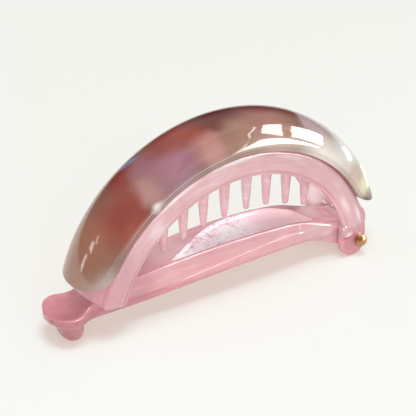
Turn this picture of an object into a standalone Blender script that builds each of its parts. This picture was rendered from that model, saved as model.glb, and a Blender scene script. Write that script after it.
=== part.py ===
# Banana hair clip: an arched upper jaw with pegs and a domed cover, hinged by one
# rivet to a straight lower jaw with a finger tab. Metres, +Z up.
# X runs along the clip, with the tab at -X and the hinge at +X. Y runs across it.
import bmesh
import bpy
from math import acos, asin, cos, degrees, exp, hypot, pi, radians, sin, sqrt

MM = 0.001

# The sizes below are measured from the arch's centre line; this puts the origin
# under the middle of the clip's whole length
ORIGIN_X = 3.0

# The arch is a circle about this centre in the XZ plane
ARCH_Z = -1.5
OPENING_R = 39.6
SHOULDER_R = 46.8
SHOULDER_BUMP = 0.8
SHOULDER_BUMP_AT = 71.0

# Upper jaw: an inverted channel with a domed roof
JAW_HALF_WIDTH = 9.6
JAW_WALL = 2.0
ROOF_HALF_WIDTH = 8.1
ROOF_RISE = 6.6
FOOT_Z = 12.2
FOOT_SLANT = 0.40
LIMB_END_Z = 11.0
ROOF_FALL_FROM = 52.0
ROOF_FALL_TO = 74.0

# Pegs in a single row down the middle of the arch
PEG_TABLE = (
    # x of the peg, z of its tip
    (-20.0, 16.9),
    (-13.4, 18.6),
    (-6.6, 21.0),
    (0.6, 21.6),
    (8.2, 22.0),
    (15.2, 21.3),
    (22.3, 19.4),
    (29.2, 17.0),
)
PEG_ROOT_HALF = 2.1
PEG_TIP_HALF = 0.95
PEG_SIDES = 12

# Cover: a half tube, cut to a long leaf with round ends
COVER_EDGE_R = 47.15
COVER_HALF_WIDTH = 10.6
COVER_RISE = 9.05
COVER_WALL = 2.0
COVER_FLATTER_LEFT = 2.8
COVER_FLATTER_RIGHT = 0.9
COVER_LEFT = -70.2
COVER_RIGHT = 71.3
COVER_END = 11.0

# Hinge
PIN_X = 43.5
PIN_Z = 5.1
PIN_R = 1.1
BORE_R = 1.4
HEAD_R = 1.95
HEAD_H = 1.8
EAR_LEFT = 37.0
EAR_RIGHT = 46.0
EAR_BOTTOM_HALF = 1.2
KNUCKLE_R = 4.0
KNUCKLE_HALF = 6.9
EAR_INSIDE = 7.25
EAR_OUTSIDE = 9.9

# Lower jaw: a straight bar with a shallow leaf-shaped dish
BAR_TABLE = (
    # x, half width, z of the top edge, z of the bottom
    (-50.0, 4.6, 11.8, 6.7),
    (-45.0, 4.8, 11.8, 6.3),
    (-39.0, 5.0, 13.7, 6.1),
    (-33.0, 5.4, 15.0, 6.4),
    (-24.0, 6.1, 16.2, 7.1),
    (-12.0, 6.7, 17.0, 7.9),
    (0.0, 6.9, 17.2, 8.4),
    (12.0, 6.9, 16.8, 8.6),
    (22.0, 6.7, 15.9, 8.5),
    (29.0, 6.3, 14.0, 7.6),
    (34.0, 6.3, 11.6, 5.6),
    (38.0, 6.4, 9.3, 3.0),
    (43.0, 6.5, 8.1, 2.3),
)
NECK_RAMP = 1.2
NECK_STEP = 1.8
DISH_FROM = -30.0
DISH_TO = 30.0
DISH_DEPTH = 2.4
DISH_RIM = 1.7
RELIEF_FROM = -36.0
RELIEF_TO = 26.0
RELIEF_RIM = 1.9
WEB = 2.0

# Finger tab: an upper lobe and a hanging lobe that is the rear foot
TAB_X = -51.6
TAB_Z = 8.2
TAB_HALF = (6.2, 7.8, 1.5)
HANG_X = -50.9
HANG_Z = 4.6
HANG_HALF = (3.3, 5.6, 4.6)
CATCH_X = -42.5
CATCH_HALF = (1.1, 3.0)
CATCH_TOP = 18.0

PINK = (0.78, 0.42, 0.43, 1.0)
SHELL = (0.45, 0.27, 0.22, 1.0)
COPPER = (0.72, 0.42, 0.20, 1.0)


def clear_scene():
    for item in list(bpy.data.objects):
        bpy.data.objects.remove(item, do_unlink=True)


def collection(name):
    made = bpy.data.collections.new(name)
    bpy.context.scene.collection.children.link(made)
    return made


def material(name, colour, roughness, metallic, transmission):
    made = bpy.data.materials.new(name)
    made.use_nodes = True
    shader = made.node_tree.nodes["Principled BSDF"]
    shader.inputs["Base Color"].default_value = colour
    shader.inputs["Roughness"].default_value = roughness
    shader.inputs["Metallic"].default_value = metallic
    shader.inputs["Transmission Weight"].default_value = transmission
    return made


def mesh_object(name, points, faces, home):
    mesh = bpy.data.meshes.new(name)
    mesh.from_pydata([((x + ORIGIN_X) * MM, y * MM, z * MM) for x, y, z in points], [], faces)
    mesh.update()
    made = bpy.data.objects.new(name, mesh)
    home.objects.link(made)
    return made


def turn_outward(item):
    body = bmesh.new()
    body.from_mesh(item.data)
    bmesh.ops.recalc_face_normals(body, faces=body.faces)
    if body.calc_volume(signed=True) < 0:
        bmesh.ops.reverse_faces(body, faces=body.faces)
    body.to_mesh(item.data)
    body.free()


def loft(name, rings, home):
    """Join closed rings of equal length into one solid with flat ends."""
    count = len(rings[0])
    points = [point for ring in rings for point in ring]
    faces = [tuple(range(count)), tuple(reversed(range(len(points) - count, len(points))))]
    for row in range(len(rings) - 1):
        here = row * count
        for step in range(count):
            after = (step + 1) % count
            faces.append((here + step, here + count + step, here + count + after, here + after))
    made = mesh_object(name, points, faces, home)
    turn_outward(made)
    return made


def hide_cutter(item):
    item.hide_render = True
    item.display_type = "WIRE"


def cut(item, tool, operation):
    change = item.modifiers.new(operation.lower() + "_" + tool.name, "BOOLEAN")
    change.operation = operation
    change.solver = "EXACT"
    change.object = tool
    hide_cutter(tool)


def smooth(item, angle):
    item.data.shade_smooth()
    item.data.set_sharp_from_angle(angle=radians(angle))


def on_arch(angle, radius, y):
    return (radius * sin(angle), y, ARCH_Z + radius * cos(angle))


def ease(value, start, end):
    part = min(1.0, max(0.0, (value - start) / (end - start)))
    return part * part * (3 - 2 * part)


def cylinder_y(name, x, z, radius, y_from, y_to, sides, home):
    rings = []
    for y in (y_from, y_to):
        ring = [(x + radius * cos(2 * pi * i / sides), y, z + radius * sin(2 * pi * i / sides))
                for i in range(sides)]
        rings.append(ring)
    return loft(name, rings, home)


def flatter(angle):
    """How much lower the dome is at this angle, in degrees, than at the top of the arch."""
    most = COVER_FLATTER_LEFT if angle < 0 else COVER_FLATTER_RIGHT
    return most * (angle / 70) ** 2


def roof_rise(angle):
    """The roof follows the cover and falls away towards the hinge."""
    rise = ROOF_RISE - flatter(degrees(angle))
    return rise * (1 - ease(degrees(angle), ROOF_FALL_FROM, ROOF_FALL_TO))


def jaw_section(angle):
    """Half profile of the channel, outside then inside, as (y, radius)."""
    rise = roof_rise(angle)
    bump = SHOULDER_BUMP * exp(-((degrees(angle) - SHOULDER_BUMP_AT) / 4.5) ** 2)
    shoulder = SHOULDER_R + bump
    outer = [(-JAW_HALF_WIDTH, OPENING_R + 0.5), (-JAW_HALF_WIDTH, shoulder - 0.6),
             (-JAW_HALF_WIDTH + 0.5, shoulder)]
    inner = [(-JAW_HALF_WIDTH + JAW_WALL, OPENING_R), (-JAW_HALF_WIDTH + JAW_WALL, SHOULDER_R - 2.6)]
    for step in range(7):
        turn = radians(90 * step / 6)
        outer.append((-ROOF_HALF_WIDTH * cos(turn), shoulder + rise * sin(turn)))
    for step in range(1, 7):
        turn = radians(90 * step / 6)
        half = JAW_HALF_WIDTH - JAW_WALL
        inner.append((-half * cos(turn), SHOULDER_R - 2.6 + (rise + 0.6) * sin(turn)))
    outer += [(-y, r) for y, r in reversed(outer[:-1])]
    inner += [(-y, r) for y, r in reversed(inner[:-1])]
    foot = [(-JAW_HALF_WIDTH + 0.5, OPENING_R)]
    return foot + outer + [(JAW_HALF_WIDTH - 0.5, OPENING_R)] + list(reversed(inner))


def build_upper_jaw(parts, cutters):
    rows = 44
    rings = []
    for row in range(rows + 1):
        part = row / rows
        ring = []
        middle = (-72 + 146 * part) * pi / 180
        for y, radius in jaw_section(middle):
            foot_z = FOOT_Z + FOOT_SLANT * max(0.0, radius - SHOULDER_R)
            left = -acos((foot_z - ARCH_Z) / radius)
            right = acos((LIMB_END_Z - ARCH_Z) / radius)
            angle = left + (right - left) * part
            ring.append(on_arch(angle, radius, y))
        rings.append(ring)
    jaw = loft("upper_jaw", rings, parts)
    for side in (-1, 1):
        jaw_ear(jaw, side, cutters)
    for number, (x, tip) in enumerate(PEG_TABLE):
        cut(jaw, peg("peg_%d" % number, x, tip, cutters), "UNION")
    bore = cylinder_y("upper_bore", PIN_X, PIN_Z, BORE_R, -14, 14, 24, cutters)
    cut(jaw, bore, "DIFFERENCE")
    return jaw


def jaw_ear(jaw, side, cutters):
    """A plate that carries the arch's wall down past the rivet to the floor."""
    half = (EAR_RIGHT - EAR_LEFT) / 2
    middle = (EAR_RIGHT + EAR_LEFT) / 2
    outline = [(EAR_RIGHT, 9.0), (EAR_RIGHT - 0.9, 12.4), (EAR_LEFT + 2.6, 12.9), (EAR_LEFT + 0.3, 10.4)]
    for step in range(13):
        turn = radians(180 + 180 * step / 12)
        x = middle + half * cos(turn)
        z = half + half * sin(turn)
        if abs(x - middle) < EAR_BOTTOM_HALF:
            z = 0.0
        outline.append((x, max(z, 0.0)))
    rings = []
    for y, shrink in ((EAR_INSIDE, 0.0), (EAR_OUTSIDE - 0.5, 0.0), (EAR_OUTSIDE, 0.4)):
        centre_x = middle
        centre_z = 7.0
        ring = []
        for x, z in outline:
            reach = hypot(x - centre_x, z - centre_z)
            scale = (reach - shrink) / reach
            ring.append((centre_x + (x - centre_x) * scale, side * y, centre_z + (z - centre_z) * scale))
        rings.append(ring)
    name = "ear_front" if side < 0 else "ear_back"
    cut(jaw, loft(name, rings, cutters), "UNION")


def peg(name, x, tip, cutters):
    root = ARCH_Z + sqrt((SHOULDER_R + roof_rise(asin(x / SHOULDER_R)) - 1.0) ** 2 - x * x)
    profile = [
        # half size, height above the tip
        (PEG_TIP_HALF * 0.45, 0.0),
        (PEG_TIP_HALF * 0.85, 0.3),
        (PEG_TIP_HALF, 0.9),
        (PEG_TIP_HALF + 0.55, 7.0),
        (PEG_ROOT_HALF, root - tip),
    ]
    rings = []
    for half, rise in profile:
        ring = []
        for step in range(PEG_SIDES):
            turn = 2 * pi * step / PEG_SIDES
            ring.append((x + half * cos(turn), half * 0.9 * sin(turn), tip + rise))
        rings.append(ring)
    return loft(name, rings, cutters)


def build_cover(parts):
    """Rows of the half tube between round ends; each row spans its own share of it."""
    rows = []
    ends = 7
    for step in range(ends):
        turn = radians(10 + 80 * step / ends)
        rows.append((COVER_LEFT + COVER_END * (1 - cos(turn)), sin(turn)))
    middle = 28
    for step in range(middle + 1):
        rows.append((COVER_LEFT + COVER_END
                     + (COVER_RIGHT - COVER_LEFT - 2 * COVER_END) * step / middle, 1.0))
    for step in reversed(range(ends)):
        turn = radians(10 + 80 * step / ends)
        rows.append((COVER_RIGHT - COVER_END * (1 - cos(turn)), sin(turn)))
    across = 14
    points = []
    for angle, share in rows:
        rise = COVER_RISE - flatter(angle)
        for step in range(across + 1):
            turn = radians(90) * share * (2 * step / across - 1)
            points.append(on_arch(radians(angle), COVER_EDGE_R + rise * cos(turn),
                                  COVER_HALF_WIDTH * sin(turn)))
    faces = []
    for row in range(len(rows) - 1):
        for step in range(across):
            here = row * (across + 1) + step
            faces.append((here, here + 1, here + across + 2, here + across + 1))
    cover = mesh_object("cover", points, faces, parts)
    wall = cover.modifiers.new("wall", "SOLIDIFY")
    wall.thickness = COVER_WALL * MM
    wall.offset = 1.0
    wall.use_even_offset = True
    return cover


def bar_row(x):
    table = BAR_TABLE
    if x <= table[0][0]:
        return table[0][1:]
    for low, high in zip(table[:-1], table[1:]):
        if x <= high[0]:
            part = (x - low[0]) / (high[0] - low[0])
            return tuple(low[i] + (high[i] - low[i]) * part for i in (1, 2, 3))
    return table[-1][1:]


def soft_row(x):
    """The table's row at x, averaged over a short reach so that it runs smooth."""
    reach = 4.0
    rows = [bar_row(x + reach * (step / 3 - 1)) for step in range(7)]
    return tuple(sum(row[i] for row in rows) / len(rows) for i in range(3))


def bar_ring(x, lower=0.0):
    half, top, bottom = soft_row(x)
    top -= lower
    lip = bottom + 1.5
    half_ring = [(0.0, bottom), (half - 1.0, bottom), (half, bottom + 0.5), (half + 0.3, lip),
                 (half, lip + 0.6), (half, top - 0.7), (half - 0.3, top - 0.15), (half - 0.8, top),
                 (0.0, top)]
    ring = [(x, y, z) for y, z in half_ring]
    ring += [(x, -y, z) for y, z in reversed(half_ring[1:-1])]
    return ring


def leaf(x, start, end):
    """0 at both ends and 1 between them."""
    part = (2 * x - start - end) / (end - start)
    return sqrt(max(0.0, 1 - part * part))


def hollow(name, start, end, rim, level, top, cutters):
    """A leaf-shaped cutter between two levels that follow the bar."""
    rings = []
    count = 22
    for step in range(count + 1):
        turn = radians(8 + 164 * step / count)
        x = (start + end) / 2 - (end - start) / 2 * cos(turn)
        half, bar_top, bar_bottom = soft_row(x)
        width = (half - rim) * leaf(x, start, end) ** 0.7
        low, high = level(bar_top, bar_bottom)
        draft = 0.5 if top else -0.5
        ring = [(x, -width + max(draft, 0), low), (x, width - max(draft, 0), low),
                (x, width + min(draft, 0), high), (x, -width - min(draft, 0), high)]
        rings.append(ring)
    return loft(name, rings, cutters)


def lump(name, centre, half, power, cutters, turns=20, rows=10):
    """A squared ellipsoid, built as stacked rings along Z."""
    rings = []
    for row in range(rows + 1):
        lift = radians(-78 + 156 * row / rows)
        wide = cos(lift) ** 0.62
        ring = []
        for step in range(turns):
            turn = 2 * pi * step / turns
            reach_x = abs(cos(turn)) ** power * (1 if cos(turn) >= 0 else -1)
            reach_y = abs(sin(turn)) ** power * (1 if sin(turn) >= 0 else -1)
            ring.append((centre[0] + half[0] * wide * reach_x, centre[1] + half[1] * wide * reach_y,
                         centre[2] + half[2] * sin(lift) / sin(radians(78))))
        rings.append(ring)
    return loft(name, rings, cutters)


def build_lower_jaw(parts, cutters):
    start = BAR_TABLE[0][0]
    end = PIN_X - 0.4
    rows = 34
    rings = [bar_ring(start - NECK_RAMP, NECK_STEP)]
    rings += [bar_ring(start + (end - start) * row / rows) for row in range(rows + 1)]
    jaw = loft("lower_jaw", rings, parts)
    dish = hollow("dish", DISH_FROM, DISH_TO, DISH_RIM,
                  lambda top, bottom: (top - DISH_DEPTH, top + 3.0), True, cutters)
    relief = hollow("relief", RELIEF_FROM, RELIEF_TO, RELIEF_RIM,
                    lambda top, bottom: (bottom - 3.0, top - DISH_DEPTH - WEB), False, cutters)
    knuckle = cylinder_y("knuckle", PIN_X, PIN_Z, KNUCKLE_R, -KNUCKLE_HALF, KNUCKLE_HALF, 28, cutters)
    tab = lump("tab_lobe", (TAB_X, 0, TAB_Z), TAB_HALF, 0.8, cutters)
    hang = lump("hanging_lobe", (HANG_X, 0, HANG_Z), HANG_HALF, 0.9, cutters)
    catch = loft("catch", [
        [(CATCH_X + sx * CATCH_HALF[0] * scale, sy * CATCH_HALF[1] * scale, z)
         for sx, sy in ((-1, -1), (1, -1), (1, 1), (-1, 1))]
        for scale, z in ((1.0, 11.0), (1.0, CATCH_TOP - 1.5), (0.6, CATCH_TOP))], cutters)
    bore = cylinder_y("lower_bore", PIN_X, PIN_Z, BORE_R, -14, 14, 24, cutters)
    for tool in (knuckle, tab, hang, catch):
        cut(jaw, tool, "UNION")
    for tool in (dish, relief, bore):
        cut(jaw, tool, "DIFFERENCE")
    return jaw


def build_hinge_pin(parts):
    """A turned rivet along Y: its shank and a domed head at each end."""
    face = EAR_OUTSIDE + 0.3
    profile = [(0.02, face + HEAD_H)]
    for step in range(1, 5):
        turn = radians(90 * step / 4)
        profile.append((HEAD_R * sin(turn), face + 0.35 + (HEAD_H - 0.35) * cos(turn)))
    profile.append((HEAD_R, face + 0.1))
    profile.append((HEAD_R - 0.1, face))
    profile.append((PIN_R, face))
    full = profile + [(radius, -y) for radius, y in reversed(profile)]
    sides = 24
    rings = []
    for radius, y in full:
        rings.append([(PIN_X + radius * cos(2 * pi * i / sides), y, PIN_Z + radius * sin(2 * pi * i / sides))
                      for i in range(sides)])
    return loft("hinge_pin", rings, parts)


def hang_on_hinge(items, home):
    """Parent the opening pieces to an empty on the rivet's axis."""
    hinge = bpy.data.objects.new("hinge_axis", None)
    hinge.location = ((PIN_X + ORIGIN_X) * MM, 0, PIN_Z * MM)
    hinge.empty_display_size = 0.01
    home.objects.link(hinge)
    for item in items:
        item.parent = hinge
        item.location = [-value for value in hinge.location]


def main():
    clear_scene()
    parts = collection("banana_hair_clip")
    cutters = collection("cutters")
    pink = material("pink_plastic", PINK, 0.18, 0.0, 0.35)
    shell = material("marbled_plastic", SHELL, 0.06, 0.0, 0.0)
    copper = material("copper_metal", COPPER, 0.25, 1.0, 0.0)
    made = [
        (build_upper_jaw(parts, cutters), pink, 40),
        (build_cover(parts), shell, 50),
        (build_lower_jaw(parts, cutters), pink, 40),
        (build_hinge_pin(parts), copper, 50),
    ]
    for item, look, angle in made:
        item.data.materials.append(look)
        smooth(item, angle)
    hang_on_hinge([made[0][0], made[1][0]], parts)


main()
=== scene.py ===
import math
from math import cos, pi, radians, sin, sqrt

import bmesh
import bpy
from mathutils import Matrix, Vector


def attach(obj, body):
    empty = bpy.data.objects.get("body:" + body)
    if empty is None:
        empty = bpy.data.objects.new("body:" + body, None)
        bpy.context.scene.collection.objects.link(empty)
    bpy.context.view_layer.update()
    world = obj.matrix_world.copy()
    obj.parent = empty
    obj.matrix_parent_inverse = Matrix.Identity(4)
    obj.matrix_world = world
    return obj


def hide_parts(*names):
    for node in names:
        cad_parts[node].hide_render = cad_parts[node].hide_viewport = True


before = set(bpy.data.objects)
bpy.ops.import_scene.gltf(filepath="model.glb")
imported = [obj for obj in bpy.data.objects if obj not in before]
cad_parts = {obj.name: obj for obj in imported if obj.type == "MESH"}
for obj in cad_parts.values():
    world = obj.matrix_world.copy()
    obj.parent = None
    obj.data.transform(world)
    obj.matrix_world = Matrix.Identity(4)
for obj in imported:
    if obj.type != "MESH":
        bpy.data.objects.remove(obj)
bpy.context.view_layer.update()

MM = 0.001

# Camera, fitted to the outlines of the clip in the photograph
VIEW_AZIMUTH = 33.45
VIEW_ELEVATION = 29.3
VIEW_PX_PER_MM = 3.4965
VIEW_FOCAL_PX = 1400.0
VIEW_TARGET = (3.0, 0.0, 25.0)
VIEW_TARGET_PX = (222.5, 207.37)
IMAGE_PX = 416
SENSOR_MM = 36.0

# Main sizes in millimetres, measured from the arch's centre line, the same as in the CAD part
ORIGIN_X = 3.0
ARCH_Z = -1.5
OPENING_R = 39.6
SHOULDER_R = 46.8

# Cover; angles along the arch are in degrees
COVER_EDGE_R = 47.15
COVER_HALF_WIDTH = 10.6
COVER_RISE = 9.05
COVER_WALL = 2.0
COVER_BEVEL = 0.55
COVER_LEFT = -70.2
COVER_RIGHT = 71.3
COVER_END = 11.0
END_FIRST_TURN = 5.0
END_ROWS = 18
MIDDLE_ROWS = 90
COVER_COLUMNS = 44
# How much lower the roof is at 70 degrees, on the left and on the right
FLATTER_LEFT = 2.8
FLATTER_RIGHT = 0.9
# The cover's map runs this far each way, along and across in degrees, and its edge map so far in mm
MAP_ALONG = 80.0
MAP_ACROSS = 90.0
MAP_EDGE = 10.0

# Upper jaw
JAW_FROM = -72.0
JAW_TO = 74.0
JAW_ROWS = 110
JAW_HALF_WIDTH = 9.6
JAW_WALL = 2.0
RIM_ROUND = 0.8
SHOULDER_ROUND = 1.1
RIM_SLANT = 0.5
SHOULDER_BUMP = 1.4
SHOULDER_BUMP_AT = 71.0
SHOULDER_BUMP_REACH = 4.5
ROOF_HALF_WIDTH = 8.1
ROOF_RISE = 6.6
ROOF_FALL = (52.0, 74.0)
ROOF_STEPS = 12
INNER_DOWN = 2.6
INNER_RISE = 0.6
LIMB_END_Z = 11.0
FOOT_Z = 12.2
FOOT_SLANT = 0.40
FOOT_DROP = 1.7
FOOT_ROUND = 0.11
FOOT_ROUND_FROM_R = 43.5
WALL_SPAN_Y = (6.8, 8.4)

PEGS = (
    # x of the peg, z of its tip
    (-20.0, 16.9), (-13.4, 18.6), (-6.6, 21.0), (0.6, 21.6),
    (8.2, 22.0), (15.2, 21.3), (22.3, 19.4), (29.2, 17.0),
)
PEG_TIP_HALF = 0.95
PEG_TIP_TURNS = (12, 30, 50, 70, 90)
PEG_SHAFT = (
    # half width, height over the tip
    (1.23, 3.6), (1.5, 7.0), (1.8, 13.0),
)
PEG_ROOT_HALF = 2.1
PEG_INTO_ROOF = 1.0
PEG_DEPTH_SHARE = 0.9
PEG_SIDES = 28

EAR_X = (37.0, 46.0)
EAR_Y = (7.55, 9.72)
EAR_MIDDLE_Z = 6.5
EAR_TOP = (
    # x, z of the outline over the round foot, from the clip's end inwards
    (46.0, 9.0), (45.65, 11.0), (45.0, 12.2), (39.6, 12.7), (38.2, 11.8), (37.3, 10.2), (37.05, 8.6),
)
EAR_FOOT_STEPS = 26
EAR_FOOT_DEEPER = 1.01
EAR_EDGE = (
    # depth from the outer face, how much smaller the outline is
    (0.9, 0.0), (0.45, 0.12), (0.12, 0.42), (0.0, 0.95),
)
NUB = (38.0, 9.3, 10.5)
NUB_R = 1.0
NUB_LIFTS = (-80, -55, -30, 0, 30, 55, 80)
NUB_SIDES = 12
CREASE = (
    # x, z along the groove where the limb ends over the lug
    (35.9, 8.8), (36.8, 7.8), (38.0, 7.0), (39.2, 6.7), (40.3, 6.9), (41.2, 7.6), (41.9, 8.6),
)
CREASE_SECTION = (
    # y from the ear's outer face, z from the groove's middle
    (0.4, 0.42), (-0.55, 0.1), (-0.55, -0.1), (0.4, -0.42),
)

# Hinge
PIN = (43.5, 5.1)
BORE_R = 1.3
BORE_HALF = 14.0
BORE_SIDES = 32
KNUCKLE_R = 4.0
KNUCKLE_HALF = 6.9
KNUCKLE_SIDES = 48
HEAD_GAP = 0.05
HEAD_SIDES = 56
# The head's dome: its radius, the height of its foot and its rise
HEAD_DOME = (1.60, 1.45, 0.75)
HEAD_DOME_TURNS = (15, 30, 45, 60, 75, 90)
HEAD_TOP = (0.04, 2.2)
HEAD_SIDE = (
    # radius, height over the head's inner face
    (1.83, 1.36), (1.95, 1.15), (1.95, 0.25), (1.85, 0.0), (1.1, 0.0),
)

# Lower jaw
BAR_TABLE = (
    # x, half width, z of the top edge, z of the bottom
    (-57.6, 1.6, 8.8, 7.5), (-57.2, 3.4, 9.2, 7.2), (-56.4, 5.2, 9.5, 7.0), (-55.0, 6.8, 9.7, 6.8),
    (-53.2, 7.6, 9.8, 6.7), (-51.5, 7.7, 9.8, 6.6), (-49.8, 7.0, 9.9, 6.5), (-48.2, 5.9, 10.3, 6.4),
    (-46.6, 5.1, 11.0, 6.3), (-45.0, 4.8, 11.8, 6.3), (-39.0, 5.0, 13.7, 6.1),
    (-33.0, 5.4, 15.0, 6.4), (-24.0, 6.1, 16.2, 7.1), (-12.0, 6.7, 17.0, 7.9),
    (0.0, 6.9, 17.2, 8.4), (12.0, 6.9, 16.8, 8.6), (22.0, 6.7, 15.9, 8.5),
    (29.0, 6.6, 14.2, 7.6), (34.0, 6.9, 12.9, 5.6), (38.0, 6.9, 11.5, 3.0),
    (43.0, 6.9, 9.6, 2.3),
)
# The table is averaged over this much of x each way, on the tab and on the bar
SOFT_TAB = 0.5
SOFT_BAR = 4.0
SOFT_CHANGE = (-50.0, -42.0)
TAB_FROM = -57.75
TAB_STEP = 0.35
TAB_ROWS = 37
BAR_FROM = -45.0
BAR_TO = 43.1
BAR_ROWS = 84
BOTTOM_ROUND = 0.9
TOP_ROUND = 0.5
FOOT_TOP_SHARPER = 0.3
HINGE_TOP_SOFTER = 2.1
TOP_SHARES = (0.85, 0.7, 0.5, 0.3, 0.0)
# The lip is a fine ledge along the bar's side, which climbs towards the hinge
LIP_LOW = 1.8
LIP_RISE = 2.5
LIP_CLIMB = (-38.0, 26.0)
LIP_OUT = 0.28
LIP_START_SHARE = 0.3
LIP_START = (-38.0, -15.0)
LIP_FADE = (21.0, 27.0)
LEDGE = (
    # share of the lip's reach, height over its line
    (1.0, -0.05), (0.85, 0.04), (0.15, 0.22), (0.0, 0.3),
)
TAB_DISH = 1.1
TAB_DISH_SPAN = (-57.4, -45.5)
TAB_DISH_POWER = 0.8
DISH_BACK = (
    # x, y of the dish's back edge
    (-22.5, -6.0), (-17.0, -3.0), (-12.0, -0.2), (-7.0, 2.6), (-2.0, 4.6),
    (5.0, 5.9), (12.0, 6.2), (20.0, 5.4), (26.0, 2.6), (30.0, -6.0),
)
DISH_SMOOTHING = 0.3
DISH_RIM = 1.05
DISH_DEPTH = 1.25
DISH_ROWS = 70
DISH_INSET = 0.05
# The dish is full where its edges are this far apart, and shallower where they are nearer
DISH_FULL_WIDTH = 3.0
DISH_LEAST_WIDTH = 0.12
DISH_SAG = 0.15
DISH_WALL = 0.35
DISH_SHELF = 0.5
DISH_FLARE = 0.1
# The frosted faces are at most this far past the dish's edges, and between these depths under the top
FROSTED_PAST_EDGE = 0.05
FROSTED_DEPTHS = (0.06, 2.2)
RELIEF_SPAN = (-36.0, 26.0)
RELIEF_TURNS = (8.0, 172.0)
RELIEF_RIM = 1.9
RELIEF_ROOF = 4.4
RELIEF_SLANT = 0.5
RELIEF_POWER = 0.7
RELIEF_ROWS = 44
# How far a cutter reaches past the surface that it cuts
CUT_PAST = 3.0
LOBE = (-50.9, 0.0, 4.0)
LOBE_HALF = (3.4, 5.6, 4.0)
LOBE_SQUARE = 0.9
LOBE_FULL = 0.62
LOBE_LIFT = 78.0
LOBE_SIDES = 40
LOBE_ROWS = 18
CATCH_X = -42.5
CATCH_HALF = (1.1, 3.0)
CATCH_ROWS = (
    # share of the full section, z
    (1.0, 11.0), (1.0, 16.5), (0.6, 18.0),
)

# Edges over this many degrees stay sharp
COVER_SHARP = 60
JAW_SHARP = 38
RIVET_SHARP = 40


# Shapes and meshes

def mesh_object(name, points, faces):
    """Object from points in millimetres, with x measured from the arch's centre line."""
    mesh = bpy.data.meshes.new(name)
    mesh.from_pydata([((x + ORIGIN_X) * MM, y * MM, z * MM) for x, y, z in points], [], faces)
    mesh.update()
    item = bpy.data.objects.new(name, mesh)
    bpy.context.scene.collection.objects.link(item)
    return item


def turn_outward(item):
    body = bmesh.new()
    body.from_mesh(item.data)
    bmesh.ops.recalc_face_normals(body, faces=body.faces)
    if body.calc_volume(signed=True) < 0:
        bmesh.ops.reverse_faces(body, faces=body.faces)
    body.to_mesh(item.data)
    body.free()


def grid_faces(rows, columns):
    """Quads between the points of a grid that is listed row by row."""
    corners = (0, 1, columns + 1, columns)
    return [tuple(row * columns + column + corner for corner in corners)
            for row in range(rows - 1) for column in range(columns - 1)]


def loft(name, rings):
    """Closed solid through rings that have the same number of points."""
    count = len(rings[0])
    points = [point for ring in rings for point in ring]
    faces = [tuple(range(count)), tuple(reversed(range(len(points) - count, len(points))))]
    for row in range(len(rings) - 1):
        here = row * count
        for step in range(count):
            after = (step + 1) % count
            faces.append((here + step, here + count + step, here + count + after, here + after))
    item = mesh_object(name, points, faces)
    turn_outward(item)
    return item


def circle(radius, sides):
    turns = [2 * pi * step / sides for step in range(sides)]
    return [(radius * cos(turn), radius * sin(turn)) for turn in turns]


def turned(name, centre, profile, sides):
    """Solid of revolution about an axis along y, from rows of radius and y."""
    rings = [[(centre[0] + x, y, centre[1] + z) for x, z in circle(radius, sides)] for radius, y in profile]
    return loft(name, rings)


def bore():
    return turned("bore", PIN, ((BORE_R, -BORE_HALF), (BORE_R, BORE_HALF)), BORE_SIDES)


def bake(item):
    """Apply the modifiers and keep the result as the object's own mesh."""
    graph = bpy.context.evaluated_depsgraph_get()
    mesh = bpy.data.meshes.new_from_object(item.evaluated_get(graph))
    item.modifiers.clear()
    item.data = mesh


def combine(item, tools, operation):
    for tool in tools:
        change = item.modifiers.new(tool.name, "BOOLEAN")
        change.operation = operation
        change.solver = "EXACT"
        change.object = tool
    bake(item)
    for tool in tools:
        bpy.data.objects.remove(tool, do_unlink=True)


def smooth(item, degrees):
    item.data.shade_smooth()
    item.data.set_sharp_from_angle(angle=radians(degrees))


def on_arch(turn, radius, y):
    """Point at a turn from upright, in radians, and a radius round the arch's centre."""
    return (radius * sin(turn), y, ARCH_Z + radius * cos(turn))


def ease(value, start, end):
    """Smooth step from nought at the start to one at the end; the end may be the smaller."""
    part = min(1.0, max(0.0, (value - start) / (end - start)))
    return part * part * (3 - 2 * part)


def between(table, x, smoothing=0.0):
    """The table's other columns at x, straight between its rows or a little smoothed."""
    if x <= table[0][0]:
        return table[0][1:]
    for low, high in zip(table[:-1], table[1:]):
        if x <= high[0]:
            part = (x - low[0]) / (high[0] - low[0])
            part += smoothing * (part * part * (3 - 2 * part) - part)
            return tuple(first + (last - first) * part for first, last in zip(low[1:], high[1:]))
    return table[-1][1:]


def round_corner(corner, before, after, radius, steps):
    """Points of a rounded corner between two directions, given as neighbouring points."""
    corner = Vector(corner)
    one = (Vector(before) - corner).normalized() * radius
    two = (Vector(after) - corner).normalized() * radius
    parts = [step / steps for step in range(steps + 1)]
    return [tuple(corner + one * (1 - part) ** 2 + two * part ** 2) for part in parts]


def mirrored(half):
    """A half outline and its mirror image, which share the last point."""
    return half + [(-y, reach) for y, reach in reversed(half[:-1])]


def flatter(angle):
    most = FLATTER_LEFT if angle < 0 else FLATTER_RIGHT
    return most * (angle / 70) ** 2


# Cover

def cover_rows():
    """Angle along the arch and share of the full width of each row, from the left end to the right."""
    turns = [radians(END_FIRST_TURN + (90 - END_FIRST_TURN) * step / END_ROWS) for step in range(END_ROWS)]
    end = [(COVER_END * (1 - cos(turn)), sin(turn)) for turn in turns]
    start = COVER_LEFT + COVER_END
    span = COVER_RIGHT - COVER_END - start
    rows = [(COVER_LEFT + inwards, share) for inwards, share in end]
    rows += [(start + span * step / MIDDLE_ROWS, 1.0) for step in range(MIDDLE_ROWS + 1)]
    rows += [(COVER_RIGHT - inwards, share) for inwards, share in reversed(end)]
    return rows


def write_map(item, name, places):
    """Texture map from one place for each point of the mesh."""
    layer = item.data.uv_layers.new(name=name)
    for loop in item.data.loops:
        layer.data[loop.index].uv = places[loop.vertex_index]


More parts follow.
